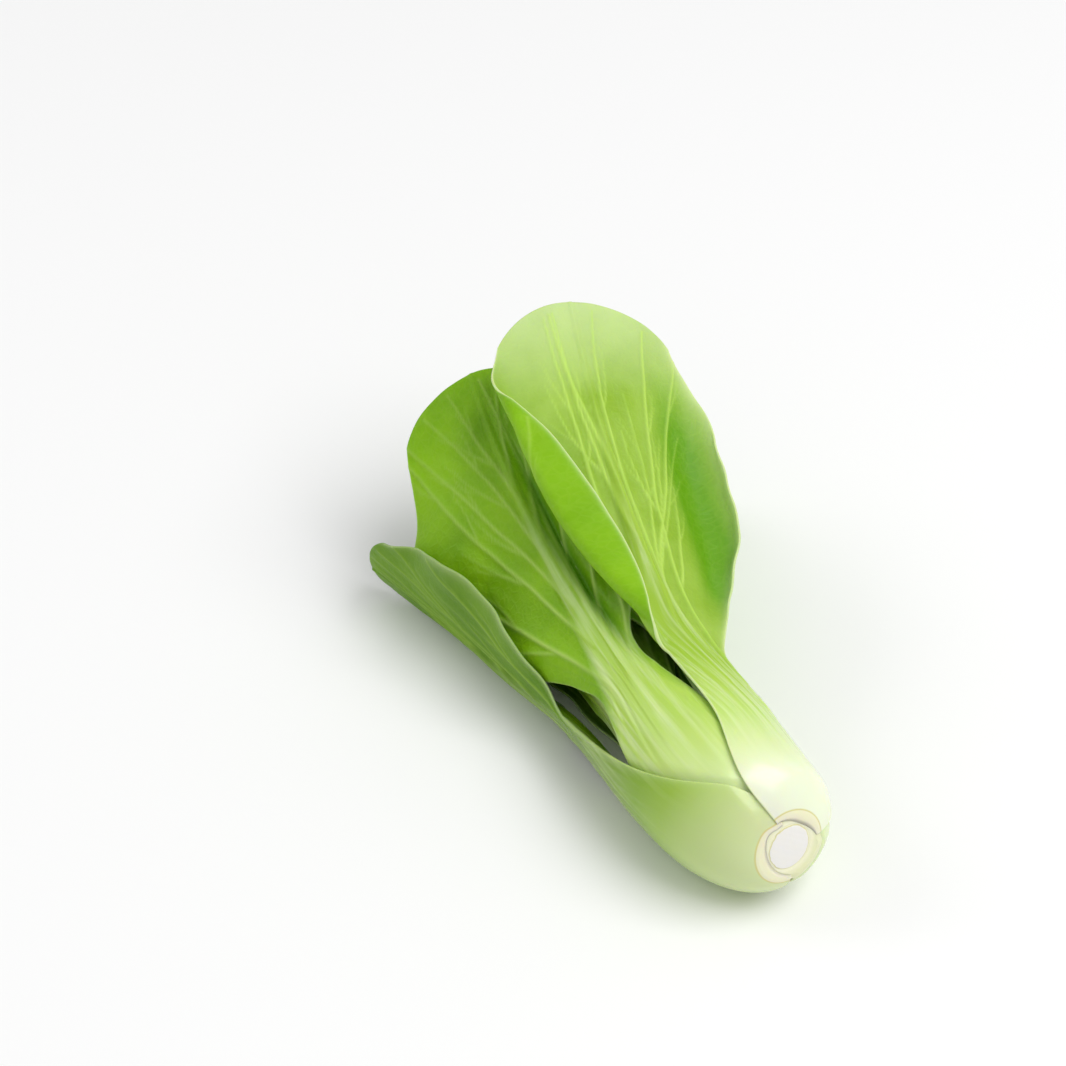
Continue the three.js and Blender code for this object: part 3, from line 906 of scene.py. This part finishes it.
@dataclass
class Stem:
    """The short cut stem: a disc at the head's end and a core inside the leaves' feet."""

    room: Room
    node: str = "stem"
    length: float = 19.0
    radius: float = 19.0
    disc_gap: float = 0.2
    core_gap: float = 2.0
    sides: int = 144
    rings: int = 90
    disc_rings: int = 40
    dome_height: float = 0.35
    dome_radius: float = 8.0
    ring_depth: float = 0.25
    ring_radius: float = 6.5
    ring_width: float = 0.3
    knife_depth: float = 0.012

    def build(self) -> Piece:
        """Builds the stem as a closed mesh.

        Returns:
            The stem's object. Its wall follows the head's skin, then the leaves' feet and
            at last a dome.
        """
        head = self.room.head
        theta = np.linspace(0.0, 2.0 * np.pi, self.sides, endpoint=False)[None, :]
        height = ((self.length - 0.6) * np.linspace(0.0, 1.0, self.rings) ** 1.6)[:, None]
        theta_wall, s_wall = np.broadcast_arrays(theta, height)
        gap = self.disc_gap + (self.core_gap - self.disc_gap) * smoothstep(0.5, 4.0, s_wall)
        dome = self.radius * np.sqrt(1.0 - (s_wall / self.length) ** 2)
        skin = np.minimum(head.radius(s_wall) - gap, dome)
        free = self.room.inside(len(self.room.leaves), theta_wall, s_wall, gap)
        wall_radius = np.minimum(skin, free)
        share = np.linspace(0.0, 1.0, self.disc_rings, endpoint=False)[1:, None]
        disc_radius = share * wall_radius[:1]
        relief = self.cut_relief(disc_radius, theta)
        disc = head.lay_down(disc_radius, theta, np.zeros_like(disc_radius))
        disc[..., 1] -= relief
        wall = head.lay_down(wall_radius, theta_wall, s_wall)
        nought = np.zeros(1)
        middle = head.lay_down(nought, nought, nought)
        middle[..., 1] -= self.cut_relief(nought, nought)
        top = head.lay_down(nought, nought, np.full(1, self.length))
        grid = np.concatenate([disc, wall])
        points = np.concatenate([middle, grid.reshape(-1, 3), top])
        radii = np.concatenate([nought, disc_radius.ravel(), wall_radius.ravel(), nought])
        marks = {"stem_radius": radii / RADIUS_UNIT}
        return mesh_object(f"{self.node}_fine", points, self.faces(len(grid)), marks)

    def cut_relief(self, radius: Array, theta: Array) -> Array:
        """Height of the cut face: a low dome, a sunk ring and faint marks of the knife."""
        dome = self.dome_height * (1.0 - (radius / self.dome_radius) ** 2)
        ring = self.ring_depth * bell(radius - self.ring_radius, self.ring_width)
        knife = self.knife_depth * np.sin(radius * np.cos(theta - 0.6) * 4.0)
        return dome - ring + knife

    def faces(self, levels: int) -> Array:
        """Faces of the bands between the rings and of the fans at both ends."""
        side = np.arange(self.sides)
        following = np.roll(side, -1)
        first = 1 + side
        level = 1 + (np.arange(levels - 1) * self.sides)[:, None]
        bands = np.stack([level + side, level + following, level + self.sides + following,
                          level + self.sides + side], axis=-1).reshape(-1, 4)
        top = 1 + levels * self.sides
        last = top - self.sides + side
        return np.concatenate([bands, self.fan(0, first[::-1]), self.fan(top, last)])

    @staticmethod
    def fan(point: int, ring: Array) -> Array:
        """Faces from one point to a ring, two sides of the ring at a time."""
        closed = np.append(ring, ring[0])
        points = np.full(len(ring) // 2, point)
        return np.stack([points, closed[:-1:2], closed[1::2], closed[2::2]], axis=-1)


def linear(colour: str) -> Colour:
    """An sRGB hex colour as the linear colour that a shader takes.

    Args:
        colour: six hex digits.

    Returns:
        Red, green, blue and alpha.
    """
    parts = [int(colour[i:i + 2], 16) / 255.0 for i in (0, 2, 4)]
    red, green, blue = (c / 12.92 if c <= 0.04045 else ((c + 0.055) / 1.055) ** 2.4 for c in parts)
    return red, green, blue, 1.0


def add_node(tree: Tree, kind: str, inputs: dict[Any, Any] | None = None,
             **settings: Any) -> bpy.types.Node:
    """Adds a shader node.

    Args:
        tree: the material's tree.
        kind: the node's type.
        inputs: for each input, a value or the output that feeds it.
        settings: the node's own properties.

    Returns:
        The node.
    """
    node = tree.nodes.new(kind)
    for name, value in settings.items():
        setattr(node, name, value)
    for key, value in (inputs or {}).items():
        if isinstance(value, Socket):
            tree.links.new(value, node.inputs[key])
        else:
            node.inputs[key].default_value = value
    return node


def new_material(name: str) -> tuple[bpy.types.Material, Tree]:
    """A new material, and its node tree with nothing in it."""
    material = bpy.data.materials.new(name)
    material.use_nodes = True
    material.node_tree.nodes.clear()
    return material, material.node_tree


def mark_of(tree: Tree, name: str, output: str = "Fac") -> Socket:
    """A mark kept on the mesh, as a number or as a vector."""
    return add_node(tree, "ShaderNodeAttribute", attribute_name=name).outputs[output]


def noise(tree: Tree, place: Socket, scale: float, detail: float) -> Socket:
    """Soft noise over a place, round about 0.5."""
    return add_node(tree, "ShaderNodeTexNoise", {
        "Vector": place, "Scale": scale, "Detail": detail}).outputs["Fac"]


def ranged(tree: Tree, value: Socket, source: Pair = (0.0, 1.0),
           target: Pair = (0.0, 1.0)) -> Socket:
    """A value carried evenly from one range to another, and held inside that.

    Args:
        tree: the material's tree.
        value: the value.
        source: where the value starts and ends.
        target: what the result is there.

    Returns:
        The result's output.
    """
    return add_node(tree, "ShaderNodeMapRange", {
        "Value": value, "From Min": source[0], "From Max": source[1], "To Min": target[0],
        "To Max": target[1]}).outputs["Result"]


def product(tree: Tree, value: Socket, factor: Socket | float,
            addend: Socket | float = 0.0) -> Socket:
    """A value times a factor, plus an addend."""
    return add_node(tree, "ShaderNodeMath", {0: value, 1: factor, 2: addend},
                    operation="MULTIPLY_ADD").outputs[0]


def mixed(tree: Tree, share: Socket, first: Socket | str, second: Socket | str) -> Socket:
    """The colour between two others, each an output or hex digits, at a share from 0 to 1."""
    ends = [linear(end) if isinstance(end, str) else end for end in (first, second)]
    return add_node(tree, "ShaderNodeMix", {0: share, 6: ends[0], 7: ends[1]},
                    data_type="RGBA").outputs[2]


def ramped(tree: Tree, value: Socket, stops: Stops) -> Socket:
    """A colour that follows a value through stops, each a place and a hex colour."""
    ramp = add_node(tree, "ShaderNodeValToRGB", {"Fac": value})
    elements = ramp.color_ramp.elements
    while len(elements) < len(stops):
        elements.new(0.5)
    for element, (place, colour) in zip(elements, stops):
        element.position = place
        element.color = linear(colour)
    return ramp.outputs["Color"]


def bumped(tree: Tree, height: Socket, strength: float, distance_mm: float) -> Socket:
    """A normal that is turned as if the surface had this fine relief."""
    return add_node(tree, "ShaderNodeBump", {
        "Height": height, "Strength": strength, "Distance": distance_mm * MM}).outputs["Normal"]


def surface(tree: Tree, inputs: dict[str, Any]) -> None:
    """Adds the main shader with these inputs and shows it on the surface."""
    shader = add_node(tree, "ShaderNodeBsdfPrincipled", inputs)
    add_node(tree, "ShaderNodeOutputMaterial", {"Surface": shader.outputs["BSDF"]})


class Skin(Enum):
    """Which finish a leaf has."""

    PALE_BACK = "pale_back"
    PALE_STALK = "pale_stalk"
    GREEN_STALK_IN_PAINTED_SHADE = "green_stalk_in_painted_shade"
    HEART = "heart"


@dataclass(frozen=True)
class LeafFinish:
    """Living leaf: a waxy stalk that fades from white to green, and a satin veined blade.

    The foot is cut square: its face is cream inside a thin darker brim. The margins and the
    tip's outer side are painted paler as a highlight, and the creases painted deeper green
    as shade. Each range is in the unit of the mark or the noise that it reads.
    """

    slot: str
    back: str
    back_shade: str
    upper: str
    upper_shade: str
    vein: str
    stalk_stops: Stops
    foot: str = "ecebc6"
    brim: str = "d6cf86"
    streak: str = "e9f5c4"
    # edge: a painted highlight, the pale colour that the margins take where they catch the light
    edge: str = "e9f3c0"
    # a painted shade: the deeper green put into the creases where shade falls
    painted_crease_shade: str = "66a006"
    # how far the tip's outer side is paled towards the streak colour: a painted highlight
    tip_highlight_share: float = 0.0
    margin_highlight_share: float = 0.3
    vein_share: float = 0.75
    upper_vein_share: float = 0.3
    net_share: float = 0.05
    streak_share: float = 0.45
    blade_roughness: float = 0.46
    stalk_roughness: float = 0.2
    specular: float = 0.32
    stalk_coat: float = 0.4
    coat_roughness: float = 0.2
    net_mm: float = 2.3
    net_line: float = 0.16
    net_relief: float = 0.25
    patch_scale: float = 55.0
    grain_scale: float = 900.0
    streak_scale: float = 480.0
    streak_stretch: float = 0.04
    bump_strength: float = 0.55
    bump_mm: float = 0.24
    patch_range: Pair = (0.35, 0.65)
    tip_highlight_range: Pair = (0.71, 0.85)
    brim_range: Pair = (0.0022, 0.0014)
    cut_range: Pair = (0.0014, 0.0009)
    streak_range: Pair = (0.45, 0.68)
    streak_rise: Pair = (0.05, 0.2)

    def material(self, name: str) -> bpy.types.Material:
        """Builds the leaf's material.

        Args:
            name: what its name starts with.

        Returns:
            A procedural material that reads the marks kept on the leaf's mesh.
        """
        material, tree = new_material(f"{name}_waxy_skin")
        plane = mark_of(tree, "leaf_plane", "Vector")
        height, stalk, vein, margin, upper, painted_crease_shade = (
            mark_of(tree, f"leaf_{mark}")
            for mark in ("height", "stalk", "vein", "margin", "upper", "painted_crease_shade"))
        patch = ranged(tree, noise(tree, plane, self.patch_scale, 4.0), self.patch_range)
        net = self.net(tree, plane)
        # painted highlight: the tip's outer side is paled towards the streak colour
        tip_highlight = ranged(tree, height, self.tip_highlight_range, (0.0, self.tip_highlight_share))
        outer = mixed(tree, tip_highlight, mixed(tree, patch, self.back, self.back_shade), self.streak)
        # painted shade: the creases are mixed towards a deeper green
        creased = mixed(tree, painted_crease_shade, outer, self.painted_crease_shade)
        face = mixed(tree, patch, self.upper, self.upper_shade)
        blade = mixed(tree, upper, creased, face)
        netted = mixed(tree, product(tree, net, self.net_share), blade, self.vein)
        lined = ranged(tree, upper, target=(self.vein_share, self.upper_vein_share))
        veined = mixed(tree, product(tree, vein, lined), netted, self.vein)
        whole = mixed(tree, stalk, veined, self.stalk_colour(tree, plane, height))
        # painted highlight: the margins are mixed towards a pale colour
        margin_highlighted = mixed(tree, product(tree, margin, self.margin_highlight_share), whole, self.edge)
        brimmed = mixed(tree, ranged(tree, height, self.brim_range), margin_highlighted, self.brim)
        colour = mixed(tree, ranged(tree, height, self.cut_range), brimmed, self.foot)
        surface(tree, {
            "Base Color": colour, "IOR": 1.4, "Specular IOR Level": self.specular,
            "Roughness": ranged(tree, stalk, target=(self.blade_roughness, self.stalk_roughness)),
            "Coat Weight": product(tree, stalk, self.stalk_coat),
            "Coat Roughness": self.coat_roughness, "Subsurface Weight": 0.35,
            "Subsurface Radius": (0.7, 1.0, 0.12), "Subsurface Scale": 0.0015,
            "Normal": self.bump(tree, plane, net, stalk)})
        return material

    def net(self, tree: Tree, plane: Socket) -> Socket:
        """The finest veins: a net of lines between cells a couple of millimetres wide."""
        cells = add_node(tree, "ShaderNodeTexVoronoi", {
            "Vector": plane, "Scale": 1.0 / (self.net_mm * MM), "Randomness": 0.9},
            feature="DISTANCE_TO_EDGE").outputs["Distance"]
        return ranged(tree, cells, (0.0, self.net_line), (1.0, 0.0))

    def stalk_colour(self, tree: Tree, plane: Socket, height: Socket) -> Socket:
        """The stalk's colour: white at the bulb, greener upwards, with faint long streaks."""
        drawn = add_node(tree, "ShaderNodeMapping", {
            "Vector": plane, "Scale": (1.0, self.streak_stretch, 1.0)}).outputs["Vector"]
        streak = noise(tree, drawn, self.streak_scale, 3.0)
        amount = ranged(tree, streak, self.streak_range, (0.0, self.streak_share))
        share = product(tree, amount, ranged(tree, height, self.streak_rise))
        return mixed(tree, share, ramped(tree, height, self.stalk_stops), self.streak)

    def bump(self, tree: Tree, plane: Socket, net: Socket, stalk: Socket) -> Socket:
        """Fine relief: the raised net and a grainy skin on the blade, less on the stalk."""
        relief = product(tree, net, self.net_relief, noise(tree, plane, self.grain_scale, 3.0))
        height = product(tree, relief, ranged(tree, stalk, target=(1.0, 0.12)))
        return bumped(tree, height, self.bump_strength, self.bump_mm)


@dataclass(frozen=True)
class StemFinish:
    """Freshly cut stem: white flesh inside a thin tan ring, then cream and a greenish wall."""

    flesh: str = "ebe9e4"
    cream: str = "eeedcd"
    tan: str = "d3cc84"
    wall: str = "e4e6bc"
    roughness: float = 0.5
    noise_scale: float = 420.0
    ring_shift: float = 0.05
    bump_strength: float = 0.5
    bump_mm: float = 0.2

    def material(self) -> bpy.types.Material:
        """Builds the stem's material.

        Returns:
            A procedural material whose rings follow the distance from the axis.
        """
        material, tree = new_material("cut_stem_flesh")
        place = add_node(tree, "ShaderNodeTexCoord").outputs["Object"]
        grain = noise(tree, place, self.noise_scale, 4.0)
        shifted = product(tree, grain, self.ring_shift, mark_of(tree, "stem_radius"))
        rings = ((0.0, self.flesh), (0.325, self.flesh), (0.335, self.tan), (0.345, self.cream),
                 (0.38, self.cream), (0.45, self.wall))
        surface(tree, {
            "Base Color": ramped(tree, shifted, rings), "Roughness": self.roughness, "IOR": 1.4,
            "Subsurface Weight": 0.4, "Subsurface Radius": (1.0, 0.9, 0.6),
            "Subsurface Scale": 0.002,
            "Normal": bumped(tree, grain, self.bump_strength, self.bump_mm)})
        return material


WHITE_STALK = ((0.0, "eaf2d6"), (0.05, "edf5d4"), (0.11, "dcecaa"), (0.175, "bfde70"),
               (0.235, "aecf4b"), (0.29, "9fc438"), (0.5, "a2c43c"))
PALE_STALK = ((0.0, "dce8b8"), (0.07, "d5e8a4"), (0.135, "c6e07c"), (0.19, "b9d964"),
              (0.25, "b4d658"), (0.3, "accf48"), (0.42, "9cc432"), (0.6, "8db32b"))
# leaf_2's stalk: greener of its own, and darkened further by painted shade
GREEN_STALK_IN_PAINTED_SHADE = ((0.0, "d5e2a8"), (0.06, "bbd47c"), (0.1, "9ec244"), (0.15, "86b014"),
               (0.215, "7ca208"), (0.31, "6e9406"), (0.5, "668c06"))
FINISHES = {
    Skin.PALE_BACK: LeafFinish(
        slot="pale_leaf", back="a0c24a", back_shade="8eb42e", upper="8bbf12",
        upper_shade="80b50c", vein="c2e468", stalk_stops=WHITE_STALK, tip_highlight_share=0.5,
        margin_highlight_share=0.6, vein_share=0.7),
    Skin.PALE_STALK: LeafFinish(
        slot="leaf", back="8abb10", back_shade="76a806", upper="6a990c",
        upper_shade="588808", vein="b4d06c", stalk_stops=PALE_STALK),
    # leaf_2: its back, upper face and stalk are darker partly by its own deeper green and partly
    # by painted shade
    Skin.GREEN_STALK_IN_PAINTED_SHADE: LeafFinish(
        slot="leaf", back="6e9a12", back_shade="5f8c0c", upper="5c8c0a",
        upper_shade="4b7a06", vein="9fc04a", stalk_stops=GREEN_STALK_IN_PAINTED_SHADE, streak="c3dc7c"),
    Skin.HEART: LeafFinish(
        slot="heart_leaf", back="94c024", back_shade="86b51c", upper="7bae14",
        upper_shade="6ea20e", vein="c6e08a", stalk_stops=PALE_STALK),
}
SKINS = {"leaf_1": Skin.PALE_BACK, "leaf_2": Skin.GREEN_STALK_IN_PAINTED_SHADE, "leaf_9": Skin.HEART,
         "leaf_10": Skin.HEART}


def aimed(name: str, data: bpy.types.ID, place: Vector, turn: Quaternion) -> Piece:
    """Puts a lamp or a camera in the scene, at a place and with a turn."""
    holder = bpy.data.objects.new(name, data)
    holder.location = place
    holder.rotation_mode = "QUATERNION"
    holder.rotation_quaternion = turn
    bpy.context.scene.collection.objects.link(holder)
    return holder


@dataclass(frozen=True)
class Lamp:
    """A soft square light: its place and side in metres, and its power in watts."""

    name: str
    place: Triple
    side: float
    power: float


@dataclass(frozen=True)
class Studio:
    """A pale table, soft light and a camera that looks down on the head.

    The target is a point in the middle of the head that shows at a known pixel of a
    picture 1066 pixels wide and high.
    """

    azimuth_degrees: float = -20.0
    elevation_degrees: float = 46.0
    distance: float = 0.9
    lens: float = 103.0
    sensor: float = 36.0
    target: Triple = (-0.00718, 0.061, 0.0225)
    target_pixel: Pair = (628.0, 641.0)
    picture: float = 1066.0
    lamps: tuple[Lamp, ...] = (Lamp("key_light", (0.7, -0.5, 1.6), 1.3, 22.5),
                               Lamp("fill_light", (-0.9, 0.6, 0.8), 0.7, 2.6))
    sheet_mm: float = 6000.0
    sheet_colour: str = "f6f6f6"
    sheet_roughness: float = 0.9
    sky_colour: str = "ffffff"
    sky_strength: float = 0.5

    def build(self) -> None:
        """Builds the floor, the sky, the lights and the camera."""
        self.floor()
        self.sky()
        for lamp in self.lamps:
            self.area_light(lamp)
        self.camera()

    def floor(self) -> None:
        """A wide matt sheet under the head."""
        half = self.sheet_mm / 2.0
        points = np.array([[-half, -half, 0.0], [half, -half, 0.0], [half, half, 0.0],
                           [-half, half, 0.0]])
        sheet = mesh_object("table_sheet", points, np.array([[0, 1, 2, 3]]), {})
        material, tree = new_material("matt_white_paper")
        surface(tree, {"Base Color": linear(self.sheet_colour),
                       "Roughness": self.sheet_roughness})
        sheet.data.materials.append(material)

    def sky(self) -> None:
        """An even white sky."""
        world = bpy.data.worlds.new("white_sky")
        world.use_nodes = True
        background = world.node_tree.nodes["Background"]
        background.inputs["Color"].default_value = linear(self.sky_colour)
        background.inputs["Strength"].default_value = self.sky_strength
        bpy.context.scene.world = world

    def area_light(self, lamp: Lamp) -> None:
        """Hangs a lamp that faces the head."""
        light = bpy.data.lights.new(lamp.name, "AREA")
        light.energy = lamp.power
        light.size = lamp.side
        place = Vector(lamp.place)
        aimed(lamp.name, light, place, (place - Vector(self.target)).to_track_quat("Z", "Y"))

    def camera(self) -> None:
        """A long-lens camera, aimed so that the target shows at its pixel."""
        azimuth = math.radians(self.azimuth_degrees)
        elevation = math.radians(self.elevation_degrees)
        back = Vector((math.sin(azimuth) * math.cos(elevation),
                       -math.cos(azimuth) * math.cos(elevation), math.sin(elevation)))
        right = Vector((math.cos(azimuth), math.sin(azimuth), 0.0))
        up = back.cross(right)
        span = self.distance * self.sensor / self.lens
        aside = (self.target_pixel[0] / self.picture - 0.5) * span
        below = (self.target_pixel[1] / self.picture - 0.5) * span
        place = Vector(self.target) + back * self.distance
        aim = Vector(self.target) - right * aside + up * below
        lens = bpy.data.cameras.new("studio_camera")
        lens.lens = self.lens
        lens.sensor_width = self.sensor
        turn = (aim - place).to_track_quat("-Z", "Y")
        bpy.context.scene.camera = aimed("studio_camera", lens, place, turn)


def dress(piece: Piece, node: str, material: bpy.types.Material) -> None:
    """Gives a piece its material and body, and hides the solid node that it replaces.

    Args:
        piece: the finished piece.
        node: the solid node that it replaces.
        material: its material.
    """
    piece.data.materials.append(material)
    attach(piece, BODY)
    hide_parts(node)
    LOG.info("%s replaces %s with %d faces", piece.name, node, len(piece.data.polygons))


def main() -> None:
    """Builds the head and the studio."""
    logging.basicConfig(level=logging.INFO, format="%(message)s")
    room = Room(HeadForm(), LEAVES)
    materials = {skin: finish.material(skin.value) for skin, finish in FINISHES.items()}
    for place, form in enumerate(LEAVES):
        skin = SKINS.get(form.node, Skin.PALE_STALK)
        leaf = Leaf(room, place).build()
        dress(leaf, form.node, materials[skin])
    stem = Stem(room)
    dress(stem.build(), stem.node, StemFinish().material())
    Studio().build()
    bpy.context.scene.view_settings.view_transform = "Standard"


if __name__ == "__main__":
    main()
